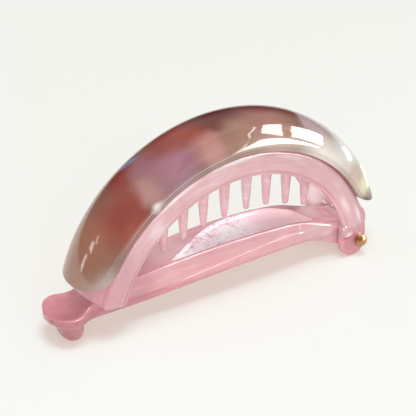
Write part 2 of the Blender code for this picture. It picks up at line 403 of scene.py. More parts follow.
def build_cover():
    rows = cover_rows()
    columns = COVER_COLUMNS + 1
    points = []
    places = []
    for angle, share in rows:
        rise = COVER_RISE - flatter(angle)
        for step in range(columns):
            across = 90 * share * (2 * step / COVER_COLUMNS - 1)
            radius = COVER_EDGE_R + rise * cos(radians(across))
            points.append(on_arch(radians(angle), radius, COVER_HALF_WIDTH * sin(radians(across))))
            places.append(((angle + MAP_ALONG) / (2 * MAP_ALONG), (across + MAP_ACROSS) / (2 * MAP_ACROSS)))
    item = mesh_object("cover_shell", points, grid_faces(len(rows), columns))
    write_map(item, "along_across", places)
    rim = [point for place, point in enumerate(points)
           if place % columns in (0, columns - 1) or place // columns in (0, len(rows) - 1)]
    apart = [min(math.dist(point, other) for other in rim) for point in points]
    write_map(item, "edge", [(distance / MAP_EDGE, 0.5) for distance in apart])
    wall = item.modifiers.new("wall", "SOLIDIFY")
    wall.thickness = COVER_WALL * MM
    wall.offset = 1.0
    wall.use_even_offset = True
    bevel = item.modifiers.new("edge", "BEVEL")
    bevel.width = COVER_BEVEL * MM
    bevel.segments = 3
    bevel.limit_method = "ANGLE"
    bevel.angle_limit = radians(50)
    bake(item)
    smooth(item, COVER_SHARP)
    return item


# Upper jaw

def roof_rise(angle):
    return (ROOF_RISE - flatter(angle)) * (1 - ease(angle, *ROOF_FALL))


def dome(half, spring, rise):
    """Half of the roof's section, from its spring line to its top, as y and radius."""
    turns = [radians(90 * step / ROOF_STEPS) for step in range(ROOF_STEPS + 1)]
    return [(-half * cos(turn), spring + rise * sin(turn)) for turn in turns]


def jaw_section(angle):
    """Section of the arch at an angle: an inverted channel with a domed roof, as y and radius."""
    rise = roof_rise(angle)
    bump = SHOULDER_BUMP * math.exp(-((angle - SHOULDER_BUMP_AT) / SHOULDER_BUMP_REACH) ** 2)
    shoulder = SHOULDER_R + bump
    wide = JAW_HALF_WIDTH
    half = wide - JAW_WALL
    outer = round_corner((-wide, OPENING_R), (-half, OPENING_R), (-wide, shoulder), RIM_ROUND, 4)
    outer += round_corner((-wide, shoulder), (-wide, OPENING_R), (-ROOF_HALF_WIDTH, shoulder),
                          SHOULDER_ROUND, 5)
    outer += dome(ROOF_HALF_WIDTH, shoulder, rise)
    inner = [(-half, OPENING_R + RIM_SLANT)] + dome(half, SHOULDER_R - INNER_DOWN, rise + INNER_RISE)
    rim = half + RIM_SLANT
    return mirrored(outer) + [(rim, OPENING_R)] + list(reversed(mirrored(inner))) + [(-rim, OPENING_R)]


def foot_turn(y, radius):
    """Turn at which the arch's foot ends; its walls reach lower, slant outwards and are rounded."""
    wall = ease(abs(y), *WALL_SPAN_Y)
    foot_z = FOOT_Z - FOOT_DROP * wall + FOOT_SLANT * max(0.0, radius - SHOULDER_R)
    foot_z += FOOT_ROUND * wall * max(0.0, radius - FOOT_ROUND_FROM_R) ** 2
    return -math.acos((foot_z - ARCH_Z) / radius)


def build_peg(number, x, tip):
    """Tapered peg with a round tip, long enough to end inside the roof."""
    roof = SHOULDER_R + roof_rise(math.degrees(math.asin(x / SHOULDER_R))) - PEG_INTO_ROOF
    root = ARCH_Z + sqrt(roof ** 2 - x * x)
    profile = [(PEG_TIP_HALF * sin(radians(turn)), PEG_TIP_HALF * (1 - cos(radians(turn))))
               for turn in PEG_TIP_TURNS]
    profile += [*PEG_SHAFT, (PEG_ROOT_HALF, root - tip)]
    rings = [[(x + reach, depth * PEG_DEPTH_SHARE, tip + rise) for reach, depth in circle(half, PEG_SIDES)]
             for half, rise in profile]
    return loft("peg_%d" % number, rings)


def build_ear(side):
    """Lug beside the knuckle, with a round foot and a softened outer edge."""
    half = (EAR_X[1] - EAR_X[0]) / 2
    middle = (EAR_X[1] + EAR_X[0]) / 2
    outline = list(EAR_TOP)
    for step in range(EAR_FOOT_STEPS + 1):
        turn = radians(180 + 180 * step / EAR_FOOT_STEPS)
        outline.append((middle + half * cos(turn), max(0.0, half + half * sin(turn) * EAR_FOOT_DEEPER)))
    rings = []
    for y, shrink in [(EAR_Y[0], 0.0)] + [(EAR_Y[1] - depth, shrink) for depth, shrink in EAR_EDGE]:
        ring = []
        for x, z in outline:
            reach = math.hypot(x - middle, z - EAR_MIDDLE_Z)
            scale = (reach - shrink) / reach
            ring.append((middle + (x - middle) * scale, side * y, EAR_MIDDLE_Z + (z - EAR_MIDDLE_Z) * scale))
        rings.append(ring)
    return loft("ear_%d" % side, rings)


def build_nub(side):
    """Small round knob on the limb, over the ear."""
    rings = []
    for lift in NUB_LIFTS:
        wide = NUB_R * cos(radians(lift))
        z = NUB[2] + NUB_R * sin(radians(lift))
        rings.append([(NUB[0] + x, side * NUB[1] + y, z) for x, y in circle(wide, NUB_SIDES)])
    return loft("nub", rings)


def build_crease(side):
    """Curved groove across the ear, where the limb ends and the lug begins."""
    rings = [[(x, side * (EAR_Y[1] + out), z + up) for out, up in CREASE_SECTION] for x, z in CREASE]
    return loft("crease", rings)


def build_upper_jaw():
    rings = []
    for row in range(JAW_ROWS + 1):
        part = row / JAW_ROWS
        ring = []
        for y, radius in jaw_section(JAW_FROM + (JAW_TO - JAW_FROM) * part):
            left = foot_turn(y, radius)
            right = math.acos((LIMB_END_Z - ARCH_Z) / radius)
            ring.append(on_arch(left + (right - left) * part, radius, y))
        rings.append(ring)
    item = loft("upper_jaw_shell", rings)
    ears = [build_ear(side) for side in (-1, 1)]
    pegs = [build_peg(number, x, tip) for number, (x, tip) in enumerate(PEGS)]
    combine(item, ears + pegs, "UNION")
    combine(item, [build_nub(side) for side in (-1, 1)], "UNION")
    combine(item, [build_crease(side) for side in (-1, 1)] + [bore()], "DIFFERENCE")
    smooth(item, JAW_SHARP)
    return item


# Lower jaw

def bar_size(x):
    """Half width, top and bottom of the bar at x, averaged over a short stretch of the table."""
    reach = SOFT_TAB + (SOFT_BAR - SOFT_TAB) * ease(x, *SOFT_CHANGE)
    rows = [between(BAR_TABLE, x + reach * (step / 3 - 1)) for step in range(7)]
    return tuple(sum(row[column] for row in rows) / len(rows) for column in range(3))


def tab_dish(x):
    part = (x - TAB_DISH_SPAN[0]) / (TAB_DISH_SPAN[1] - TAB_DISH_SPAN[0])
    return TAB_DISH * sin(pi * min(1.0, max(0.0, part))) ** TAB_DISH_POWER


def top_round(x):
    """Rounding of the top edges: finer where the foot straddles the bar, softer near the hinge."""
    by_foot = ease(x, -21.0, -25.0) * ease(x, -46.0, -40.0)
    return TOP_ROUND - FOOT_TOP_SHARPER * by_foot + HINGE_TOP_SOFTER * ease(x, 24.0, 34.0)


def bar_ring(x):
    half, top, bottom = bar_size(x)
    tall = top - bottom
    lip = bottom + min(LIP_LOW + LIP_RISE * ease(x, *LIP_CLIMB), 0.55 * tall)
    out = LIP_OUT * (LIP_START_SHARE + (1 - LIP_START_SHARE) * ease(x, *LIP_START)) * (1 - ease(x, *LIP_FADE))
    low_round = min(BOTTOM_ROUND, 0.45 * tall, 0.5 * half)
    high_round = min(top_round(x), 0.42 * tall, 0.5 * half)
    side = [(0.0, bottom), (half * 0.5, bottom)]
    side += round_corner((half + out, bottom), (0, bottom), (half + out, lip), low_round, 4)
    side += [(half + out * share, lip + up) for share, up in LEDGE]
    side += round_corner((half, top), (half, bottom), (0, top), high_round, 6)
    for share in TOP_SHARES:
        side.append(((half - high_round) * share, top - tab_dish(x) * (1 - share * share)))
    return [(x, y, z) for y, z in side] + [(x, -y, z) for y, z in reversed(side[1:-1])]


def dish_edges(x):
    """The dish's straight front edge and its bowed back edge, which may cross at its tips."""
    half = bar_size(x)[0]
    return DISH_RIM - half, min(between(DISH_BACK, x, DISH_SMOOTHING)[0], half - DISH_RIM)


def dish_cutter():
    """Leaf-shaped dish in the top, straight along the front and bowed along the back."""
    rings = []
    start = DISH_BACK[0][0] + DISH_INSET
    span = DISH_BACK[-1][0] - DISH_INSET - start
    for step in range(DISH_ROWS + 1):
        x = start + span * step / DISH_ROWS
        top = bar_size(x)[1]
        front, back = dish_edges(x)
        back = max(front + DISH_LEAST_WIDTH, back)
        close = min(1.0, (back - front) / DISH_FULL_WIDTH)
        low = top - DISH_DEPTH * close
        middle = low - DISH_SAG * close
        wall = DISH_WALL * close
        shelf = low + DISH_SHELF * close + 0.02
        over = top + CUT_PAST
        section = ((front + wall, low), ((front + back) / 2, middle), (back - wall, low), (back, shelf),
                   (back + DISH_FLARE, over), (front - DISH_FLARE, over), (front, shelf))
        rings.append([(x, y, z) for y, z in section])
    return loft("dish", rings)


def relief_cutter():
    """Long hollow in the bar's underside, which narrows to a point at both ends."""
    rings = []
    start, end = RELIEF_SPAN
    for step in range(RELIEF_ROWS + 1):
        turn = radians(RELIEF_TURNS[0] + (RELIEF_TURNS[1] - RELIEF_TURNS[0]) * step / RELIEF_ROWS)
        x = (start + end) / 2 - (end - start) / 2 * cos(turn)
        half, top, bottom = bar_size(x)
        width = (half - RELIEF_RIM) * sin(turn) ** RELIEF_POWER
        inner = width - RELIEF_SLANT
        low, high = bottom - CUT_PAST, top - RELIEF_ROOF
        rings.append([(x, -width, low), (x, 0, low), (x, width, low),
                      (x, inner, high), (x, 0, high), (x, -inner, high)])
    return loft("relief", rings)


def squarer(value):
    return math.copysign(abs(value) ** LOBE_SQUARE, value)


def build_lobe():
    """Full, slightly square drop under the tab, which the clip stands on."""
    rings = []
    for row in range(LOBE_ROWS + 1):
        lift = radians(LOBE_LIFT * (2 * row / LOBE_ROWS - 1))
        wide = cos(lift) ** LOBE_FULL
        z = LOBE[2] + LOBE_HALF[2] * sin(lift) / sin(radians(LOBE_LIFT))
        half_x, half_y = LOBE_HALF[0] * wide, LOBE_HALF[1] * wide
        rings.append([(LOBE[0] + half_x * squarer(x), LOBE[1] + half_y * squarer(y), z)
                      for x, y in circle(1.0, LOBE_SIDES)])
    return loft("hang", rings)


def build_catch():
    """Plain upright tongue that the arch's foot hides."""
    corners = ((-1, -1), (1, -1), (1, 1), (-1, 1))
    rings = [[(CATCH_X + x * CATCH_HALF[0] * share, y * CATCH_HALF[1] * share, z) for x, y in corners]
             for share, z in CATCH_ROWS]
    return loft("catch", rings)


def build_lower_jaw():
    places = [TAB_FROM + TAB_STEP * step for step in range(TAB_ROWS)]
    places += [BAR_FROM + (BAR_TO - BAR_FROM) * (step + 1) / BAR_ROWS for step in range(BAR_ROWS)]
    item = loft("lower_jaw_shell", [bar_ring(x) for x in places])
    knuckle = turned("knuckle", PIN, ((KNUCKLE_R, -KNUCKLE_HALF), (KNUCKLE_R, KNUCKLE_HALF)), KNUCKLE_SIDES)
    combine(item, [knuckle, build_lobe(), build_catch()], "UNION")
    combine(item, [dish_cutter(), relief_cutter(), bore()], "DIFFERENCE")
    smooth(item, JAW_SHARP)
    return item


def mark_dish(item):
    """The frosted floor of the dish takes the second material."""
    for face in item.data.polygons:
        x = face.center.x / MM - ORIGIN_X
        if not DISH_BACK[0][0] < x < DISH_BACK[-1][0]:
            continue
        front, back = dish_edges(x)
        inside = front - FROSTED_PAST_EDGE < face.center.y / MM < back + FROSTED_PAST_EDGE
        depth = bar_size(x)[1] - face.center.z / MM
        if inside and FROSTED_DEPTHS[0] < depth < FROSTED_DEPTHS[1]:
            face.material_index = 1


# Rivet

def build_rivet():
    """Pin with a domed head at each side, turned in one piece."""
    face = EAR_Y[1] + HEAD_GAP
    radius, low, rise = HEAD_DOME
    profile = [(HEAD_TOP[0], face + HEAD_TOP[1])]
    profile += [(radius * sin(radians(turn)), face + low + rise * cos(radians(turn)))
                for turn in HEAD_DOME_TURNS]
    profile += [(reach, face + height) for reach, height in HEAD_SIDE]
    item = turned("rivet", PIN, profile + [(reach, -y) for reach, y in reversed(profile)], HEAD_SIDES)
    smooth(item, RIVET_SHARP)
    return item


# Materials

class Shader:
    """A node tree, with a short way to add each kind of node that the looks need."""

    def __init__(self, tree):
        self.nodes = tree.nodes
        self.links = tree.links

    def add(self, kind, **settings):
        node = self.nodes.new("ShaderNode" + kind)
        for name, value in settings.items():
            setattr(node, name, value)
        return node

    def feed(self, socket, value):
        """Link the socket to another node's output, or set its value."""
        if isinstance(value, bpy.types.NodeSocket):
            self.links.new(value, socket)
        elif socket.type == "RGBA":
            socket.default_value = (*value, 1)
        else:
            socket.default_value = value

    def math(self, operation, *values):
        node = self.add("Math", operation=operation)
        for socket, value in zip(node.inputs, values):
            self.feed(socket, value)
        return node.outputs[0]

    def vector(self, operation, *values):
        node = self.add("VectorMath", operation=operation)
        for socket, value in zip(node.inputs, values):
            self.feed(socket, value)
        return node.outputs["Value" if operation == "LENGTH" else "Vector"]

    def split(self, vector):
        node = self.add("SeparateXYZ")
        self.feed(node.inputs[0], vector)
        return node.outputs

    def join(self, *values):
        node = self.add("CombineXYZ")
        for socket, value in zip(node.inputs, values):
            self.feed(socket, value)
        return node.outputs[0]

    def ramp(self, value, *stops, soft=False):
        node = self.add("ValToRGB")
        band = node.color_ramp
        band.interpolation = "EASE" if soft else "LINEAR"
        while len(band.elements) < len(stops):
            band.elements.new(0.5)
        for element, (place, colour) in zip(band.elements, stops):
            element.position = place
            element.color = (*colour, 1)
        self.feed(node.inputs[0], value)
        return node.outputs["Color"]

    def mix(self, share, first, second, blend="MIX"):
        node = self.add("Mix", data_type="RGBA", blend_type=blend)
        for name, value in (("Factor", share), ("A", first), ("B", second)):
            self.feed([socket for socket in node.inputs if socket.name == name and socket.enabled][0], value)
        return [socket for socket in node.outputs if socket.enabled][0]

    def fade(self, value, start, end):
        """Smooth step from nought at the start to one at the end; the end may be the smaller."""
        node = self.add("MapRange", interpolation_type="SMOOTHSTEP")
        self.feed(node.inputs["From Min"], start)
        self.feed(node.inputs["From Max"], end)
        self.feed(node.inputs["Value"], value)
        return node.outputs[0]

    def patch(self, place, middle, size, fades):
        """One inside the ellipsoid at the middle, nought outside it, soft between the two fades."""
        scale = tuple(1 / part if part else 0.0 for part in size)
        reach = self.vector("LENGTH", self.vector("MULTIPLY", self.vector("SUBTRACT", place, middle), scale))
        return self.fade(reach, *fades)

    def noise(self, place, scale, detail, roughness=0.5, distortion=0.0, output="Fac"):
        node = self.add("TexNoise")
        self.feed(node.inputs["Vector"], place)
        self.feed(node.inputs["Scale"], scale)
        self.feed(node.inputs["Detail"], detail)
        self.feed(node.inputs["Roughness"], roughness)
        self.feed(node.inputs["Distortion"], distortion)
        return node.outputs[output]

    def blend(self, first, second, share):
        """Sum of two values, the second with this share and the first with the rest."""
        return self.math("ADD", self.math("MULTIPLY", first, 1 - share), self.math("MULTIPLY", second, share))

    def bump(self, height, strength, distance, *sockets):
        node = self.add("Bump")
        self.feed(node.inputs["Height"], height)
        self.feed(node.inputs["Strength"], strength)
        self.feed(node.inputs["Distance"], distance)
        for socket in sockets:
            self.feed(socket, node.outputs[0])

    def millimetres(self, metres):
        return self.math("MULTIPLY", metres, 1 / MM)

    def along_clip(self, x):
        """Millimetres along from the arch's centre line, for x in metres."""
        return self.math("SUBTRACT", self.millimetres(x), ORIGIN_X)


def new_material(name, settings):
    """Material with its plain settings; its nodes and the inputs of its main shader."""
    material = bpy.data.materials.new(name)
    material.use_nodes = True
    shader = Shader(material.node_tree)
    inputs = material.node_tree.nodes["Principled BSDF"].inputs
    for socket, value in settings.items():
        shader.feed(inputs[socket], value)
    return material, shader, inputs


PINK_SETTINGS = {
    "Roughness": 0.08, "IOR": 1.46, "Coat Weight": 1.0, "Coat Roughness": 0.03,
    "Subsurface Weight": 0.5, "Subsurface Radius": (1.0, 0.45, 0.45), "Subsurface Scale": 0.004,
}
FROSTED_SETTINGS = {
    "Roughness": 0.3, "Specular IOR Level": 1.0, "Coat Weight": 1.0, "Coat Roughness": 0.25,
    "Subsurface Weight": 0.5, "Subsurface Radius": (1.0, 0.8, 0.85), "Subsurface Scale": 0.0015,
}
COVER_SETTINGS = {
    "Roughness": 0.25, "Specular IOR Level": 0.12, "Coat Weight": 1.0, "Coat Roughness": 0.01,
    "Coat IOR": 1.6,
}
COPPER_SETTINGS = {"Base Color": (0.55, 0.29, 0.14), "Metallic": 1.0, "Roughness": 0.3}
FLOOR_SETTINGS = {
    "Base Color": (0.42, 0.54, 0.56), "Roughness": 1.0, "Specular IOR Level": 0.0,
    "Emission Color": (0.495, 0.378, 0.32), "Emission Strength": 1.0,
}
WHITE_TINT = (1.0, 1.0, 1.0)

# Pink plastic: its dark, middle and pale tone, tints between two values of a measure, some of them painted
# shade and painted light as noted at their rows, and whitish painted highlights and painted light at single
# places
# Whitish colour of the painted highlights and painted light on the pink, and how their edges fade
PAINTED_LIGHT_WHITE = (1.0, 0.93, 0.94)
PAINTED_LIGHT_FADES = (1.0, 0.1)
PINK_CLOUDS = (90.0, 2.0, 0.5, 0.4)
PINK_STREAKS = (1.0, 3.0, 0.6, 0.3)
STREAK_STRETCH = (0.09, 0.5, 0.75)
STREAK_SHARE = 0.55
PINK_PLACES = (0.30, 0.5, 0.70)
PINK_RIPPLES = (260.0, 2.0, 0.5)
# Strength of a bump, and its height in metres
PINK_BUMP = (0.35, 0.0002)
FROST_BUMP = (0.6, 0.0003)
# Below this height the limb's end and the foot count as further from the arch's centre
ARCH_ENDS_Z = (10.8, 9.6)
ARCH_ENDS_REACH = 8.0
JAW_CLEAR = 0.4
JAW_PINKS = ((0.72, 0.42, 0.46), (0.77, 0.51, 0.545), (0.88, 0.73, 0.755))
JAW_TINTS = (
    # measure, where the tint starts, where it is full, tint
    # Painted shade line just inside the opening's edge
    ("reach", 41.2, 40.6, (0.88, 0.72, 0.74)),
    # Lighter again at the very edge, so the painted shade stays a line
    ("reach", 40.5, 40.1, (1.12, 1.34, 1.30)),
    ("height", 9.5, 6.5, (0.98, 0.76, 0.79)),
    # Painted shade on the arch's left foot
    ("along", -33.0, -39.0, (0.91, 0.86, 0.88)),
    ("reach", 45.5, 46.6, (0.92, 0.80, 0.83)),
)
# Painted highlights and painted light on the upper jaw: whitish streaks and glints on the limb, ear and lug,
# the bright band along the shoulder under the cover's edge, and lighter inner faces of the limb where they
# lie in shade
JAW_PAINTED_LIGHT = (
    # middle in degrees along the arch, mm across and mm of radius; its reach in the same; strength
    ((69.5, 9.6, 45.3), (6.0, 2.0, 0.9), 0.85),
    ((70.8, 9.7, 38.6), (2.6, 1.0, 1.0), 0.9),
    ((62.0, 9.6, 42.6), (9.0, 2.0, 1.5), 0.6),
    ((-27.0, 9.4, 45.6), (13.0, 2.4, 1.0), 1.0),
    ((-3.0, 9.4, 46.0), (15.0, 2.4, 1.1), 1.0),
    ((60.0, 0.0, 46.5), (17.0, 7.5, 5.5), 0.85),
    ((68.0, 7.3, 42.0), (12.0, 2.0, 5.5), 0.95),
    ((72.0, 9.7, 38.4), (1.5, 1.0, 1.2), 0.95),
    ((76.4, 9.7, 40.5), (1.8, 1.0, 2.0), 0.9),
    ((79.0, 9.7, 44.2), (1.2, 1.0, 1.0), 0.9),
    ((20.0, 9.6, 45.4), (9.0, 1.4, 1.0), 0.4),
)
BAR_CLEAR = 0.3
BAR_PINKS = ((0.76, 0.37, 0.41), (0.80, 0.455, 0.49), (0.86, 0.61, 0.64))
BAR_TINTS = (
    # measure, where the tint starts, where it is full, tint
    # Painted shade on the bar's top where the arch's foot stands over it
    ("along", -22.0, -30.0, (0.84, 0.74, 0.77)),
    # Painted light on the bar's right end towards the hinge, which the limb above shades
    ("along", 20.0, 28.0, (1.02, 1.10, 1.09)),
    ("height", 10.2, 8.8, (0.86, 0.74, 0.77)),
    ("along", -42.0, -48.0, (0.93, 0.83, 0.82)),
)
# Painted light and painted highlights on the lower jaw: the top behind the dish lightened where the limb
# shades it, a small crescent highlight, a bright spot on the hinge arm and lighter patches on the top and
# front
BAR_PAINTED_LIGHT = (
    # middle in mm along, across and up; its reach in the same; strength
    ((32.5, 0.0, 13.2), (7.0, 6.8, 2.2), 0.55),
    ((-18.0, 2.0, 16.5), (17.0, 6.0, 1.3), 0.35),
    ((23.0, 7.0, 14.2), (0.5, 1.2, 1.3), 0.7),
    ((37.5, 0.5, 11.6), (1.2, 2.2, 0.8), 0.9),
    ((33.0, 7.0, 9.0), (3.0, 1.2, 1.2), 0.4),
)

# Frosted floor of the dish, which turns plain pink towards the hinge; its pale grain is partly painted light,
# brightening it where the arch shades it, and its palest specks are painted glints
FROST_GRAIN = (1700.0, 3.0, 0.75)
FROST_STRETCH = (0.45, 1.5, 1.0)
FROST_PATCHES = (160.0, 3.0, 0.6)
FROST_PATCH_SHARE = 0.4
FROST_GRAIN_AND_GLINT_TONES = ((0.40, (0.56, 0.27, 0.35)), (0.48, (0.95, 0.75, 0.82)), (0.56, (1.0, 0.98, 0.99)))
FROST_END = (4.0, 18.0)
FROST_END_PINK = (0.93, 0.67, 0.70)

# Marbled cover: soft patches over each other, drifted a little, with a darker clear rim and a fine painted
# highlight line; a few patches are painted glints and a painted highlight, and the pale cream is partly
# painted reflection
MARBLE_BASE = (0.30, 0.16, 0.12)
MARBLE_AND_REFLECTIONS = (
    # degrees along the arch, degrees across, reach along, reach across, colour
    (-71, -40, 11, 90, (0.50, 0.34, 0.27)),
    (-66, -75, 8, 44, (0.50, 0.38, 0.33)),
    (-61, 20, 18, 70, (0.43, 0.215, 0.15)),
    (-53, -25, 12, 44, (0.42, 0.19, 0.125)),
    (-43, -40, 12, 60, (0.31, 0.055, 0.034)),
    (-46, -80, 9, 30, (0.40, 0.115, 0.085)),
    (-36, 8, 7, 34, (0.29, 0.040, 0.028)),
    (-33, -52, 5, 46, (0.50, 0.27, 0.25)),
    (-27, -10, 8, 34, (0.33, 0.13, 0.175)),
    (-22, -50, 10, 46, (0.43, 0.20, 0.275)),
    (-24, -80, 9, 24, (0.42, 0.23, 0.27)),
    (-18, 6, 12, 34, (0.28, 0.040, 0.030)),
    (-13, -14, 9, 30, (0.34, 0.065, 0.035)),
    (-10, -56, 7, 40, (0.62, 0.32, 0.29)),
    (-2, 2, 11, 40, (0.11, 0.006, 0.004)),
    (-4, -16, 5, 18, (0.17, 0.033, 0.022)),
    (1, -56, 9, 46, (0.44, 0.26, 0.19)),
    (14, 4, 15, 40, (0.22, 0.035, 0.027)),
    (12, -34, 10, 30, (0.42, 0.20, 0.155)),
    (14, -76, 12, 30, (0.62, 0.42, 0.34)),
    (33, -25, 9, 90, (0.64, 0.50, 0.50)),
    # Pale cream over the right part: the acetate's pale tone with painted reflection of the sky
    (38, -78, 16, 44, (1.0, 0.88, 0.80)),
    (47, -40, 11, 60, (0.82, 0.72, 0.60)),
    (56, -76, 7, 40, (0.72, 0.55, 0.44)),
    # Painted glint, white
    (45, -50, 8, 34, (0.93, 0.97, 0.95)),
    # Painted highlight, yellow
    (61, -54, 5, 40, (1.0, 0.97, 0.66)),
    (69, -74, 5.5, 60, (0.13, 0.012, 0.008)),
    (18, -54, 5, 14, (0.42, 0.20, 0.14)),
    # Painted glint, blue, at the back edge
    (-31, 21, 4, 7, (0.26, 0.30, 0.62)),
    (-60, 74, 13, 60, (0.45, 0.28, 0.22)),
    (-40, 76, 12, 44, (0.30, 0.06, 0.04)),
    (-24, 68, 9, 34, (0.42, 0.20, 0.27)),
    (-8, 80, 12, 36, (0.50, 0.28, 0.24)),
    (8, 62, 9, 26, (0.26, 0.05, 0.04)),
    (22, 80, 12, 30, (0.52, 0.34, 0.28)),
    (40, 64, 13, 36, (0.62, 0.50, 0.48)),
    (58, 72, 11, 50, (0.88, 0.80, 0.66)),
    (-35, -76, 2.6, 12, (0.90, 0.80, 0.78)),
)
MARBLE_AND_REFLECTION_FADES = (1.2, 0.2)
MM_PER_DEGREE = (0.977, 0.183)
DRIFT_NOISE = (0.11, 3.0, 0.5)
DRIFT_MM = (7.0, 6.0, 0.0)
# A sharp change to grey lilac, in shares of the cover's length and width
SEAM_ALONG = (0.654, 0.660)
SEAM_FADE = (0.75, 0.68)
SEAM_ACROSS = (0.22, 0.32)
SEAM_STRENGTH = 0.7
SEAM_LILAC = (0.66, 0.55, 0.58)
# Darker over the top, by the share of the width from the middle line
TOP_TINT = ((0.24, (0.90, 0.84, 0.82)), (0.42, WHITE_TINT))
# Rim, by the distance from the edge in shares of the edge map, and where it ends along the length
RIM_TONES = ((0.0, (0.20, 0.09, 0.08)), (0.04, (0.42, 0.31, 0.28)), (0.12, (0.34, 0.24, 0.21)))
RIM_BAND = ((0.135, (1, 1, 1)), (0.165, (0, 0, 0)))
RIM_MARBLE_SHARE = 0.7
RIM_LEFT = (0.14, 0.22)
RIM_RIGHT = (0.91, 0.88)
# Painted highlight: a fine pale line just inside the rim
HIGHLIGHT_LINE_BAND = ((0.140, (0, 0, 0)), (0.147, (1, 1, 1)), (0.152, (1, 1, 1)), (0.160, (0, 0, 0)))
HIGHLIGHT_LINE_STRENGTH = 0.55
HIGHLIGHT_LINE_COLOUR = (0.92, 0.84, 0.82)


def pink_material(name, pinks, tints, painted_light, round_the_arch, clear):
    """Translucent pink with tints along a measure, and whitish painted highlights and painted light at single
    places.

    Each painted spot is its middle and its reach. Round the arch these are in degrees, mm across and mm of
    radius, and otherwise in mm along, across and up.
    """
    material, shader, inputs = new_material(name, PINK_SETTINGS)
    place = shader.add("TexCoord").outputs["Object"]
    x, y, z = shader.split(place)
    along = shader.along_clip(x)
    across = shader.math("ABSOLUTE", shader.millimetres(y))
    height = shader.millimetres(z)
    over = shader.math("SUBTRACT", height, ARCH_Z)
    squares = [shader.math("MULTIPLY", side, side) for side in (along, over)]
    reach = shader.math("SQRT", shader.math("ADD", *squares))
    angle = shader.math("MULTIPLY", shader.math("ARCTAN2", along, over), 180 / pi)
    spot = shader.join(angle, across, reach) if round_the_arch else shader.join(along, across, height)
    clouds = shader.noise(place, *PINK_CLOUDS)
    streaks = shader.noise(shader.vector("MULTIPLY", spot, STREAK_STRETCH), *PINK_STREAKS)
    mixed = shader.blend(clouds, streaks, STREAK_SHARE)
    colour = shader.ramp(mixed, *zip(PINK_PLACES, pinks), soft=True)
    past_end = shader.math("MULTIPLY", shader.fade(height, *ARCH_ENDS_Z), ARCH_ENDS_REACH)
    measures = {"along": along, "reach": shader.math("ADD", reach, past_end), "height": height}
    for measure, start, end, tint in tints:
        share = shader.fade(measures[measure], start, end)
        colour = shader.mix(1.0, colour, shader.mix(share, WHITE_TINT, tint), "MULTIPLY")
    # Whitish painted highlights, and painted light where faces lie in shade
    for middle, size, strength in painted_light:
        share = shader.patch(spot, middle, size, PAINTED_LIGHT_FADES)
        colour = shader.mix(shader.math("MULTIPLY", share, strength), colour, PAINTED_LIGHT_WHITE)
    shader.feed(inputs["Base Color"], colour)
    shader.feed(inputs["Transmission Weight"], clear)
    ripples = shader.noise(place, *PINK_RIPPLES)
    shader.bump(ripples, *PINK_BUMP, inputs["Normal"], inputs["Coat Normal"])
    return material


def frosted_material():
    material, shader, inputs = new_material("frosted_dish", FROSTED_SETTINGS)
    place = shader.add("TexCoord").outputs["Object"]
    along = shader.along_clip(shader.split(place)[0])
    grain = shader.noise(shader.vector("MULTIPLY", place, FROST_STRETCH), *FROST_GRAIN)
    mixed = shader.blend(grain, shader.noise(place, *FROST_PATCHES), FROST_PATCH_SHARE)
    # Grain tones, partly painted light, with painted glints in the palest specks
    colour = shader.ramp(mixed, *FROST_GRAIN_AND_GLINT_TONES)
    colour = shader.mix(shader.fade(along, *FROST_END), colour, FROST_END_PINK)
    shader.feed(inputs["Base Color"], colour)
    shader.bump(grain, *FROST_BUMP, inputs["Normal"])
    return material


def in_millimetres(along, across):
    return (along * MM_PER_DEGREE[0], across * MM_PER_DEGREE[1], 0.0)


def cover_material():
    """Marbling with a few painted glints and painted reflection, rim and fine painted highlight line from the
    cover's two maps.
    """
    material, shader, inputs = new_material("marbled_cover", COVER_SETTINGS)
    plane = shader.add("UVMap", uv_map="along_across").outputs[0]
    along, across = shader.split(plane)[:2]
    edge = shader.split(shader.add("UVMap", uv_map="edge").outputs[0])[0]
    place = shader.vector("MULTIPLY_ADD", plane, in_millimetres(2 * MAP_ALONG, 2 * MAP_ACROSS),
                          in_millimetres(-MAP_ALONG, -MAP_ACROSS))
    drift = shader.noise(place, *DRIFT_NOISE, output="Color")
    shift = shader.vector("MULTIPLY_ADD", drift, DRIFT_MM, tuple(-part / 2 for part in DRIFT_MM))
    moved = shader.vector("ADD", place, shift)
    colour = MARBLE_BASE
    # Marble patches, a few of them painted glints, painted highlight and painted reflection
    for middle_along, middle_across, reach_along, reach_across, patch in MARBLE_AND_REFLECTIONS:
        middle = in_millimetres(middle_along, middle_across)
        share = shader.patch(moved, middle, in_millimetres(reach_along, reach_across), MARBLE_AND_REFLECTION_FADES)
        colour = shader.mix(share, colour, patch)
    seam = shader.math("MULTIPLY", shader.fade(along, *SEAM_ALONG), shader.fade(along, *SEAM_FADE))
    seam = shader.math("MULTIPLY", seam, shader.fade(across, *SEAM_ACROSS))
    colour = shader.mix(shader.math("MULTIPLY", seam, SEAM_STRENGTH), colour, SEAM_LILAC)
    from_middle = shader.math("ABSOLUTE", shader.math("SUBTRACT", across, 0.5))
    colour = shader.mix(1.0, colour, shader.ramp(from_middle, *TOP_TINT), "MULTIPLY")
    between_ends = shader.math("MULTIPLY", shader.fade(along, *RIM_LEFT), shader.fade(along, *RIM_RIGHT))
    rim_share = shader.math("MULTIPLY", shader.ramp(edge, *RIM_BAND), between_ends)
    rim = shader.mix(RIM_MARBLE_SHARE, shader.ramp(edge, *RIM_TONES), colour)
    colour = shader.mix(rim_share, colour, rim)
    # Painted highlight line just inside the rim
    highlight_line_share = shader.math("MULTIPLY", between_ends, HIGHLIGHT_LINE_STRENGTH)
    highlight_line_share = shader.math("MULTIPLY", shader.ramp(edge, *HIGHLIGHT_LINE_BAND), highlight_line_share)
    colour = shader.mix(highlight_line_share, colour, HIGHLIGHT_LINE_COLOUR)
    shader.feed(inputs["Base Color"], colour)
    return material


# Stage

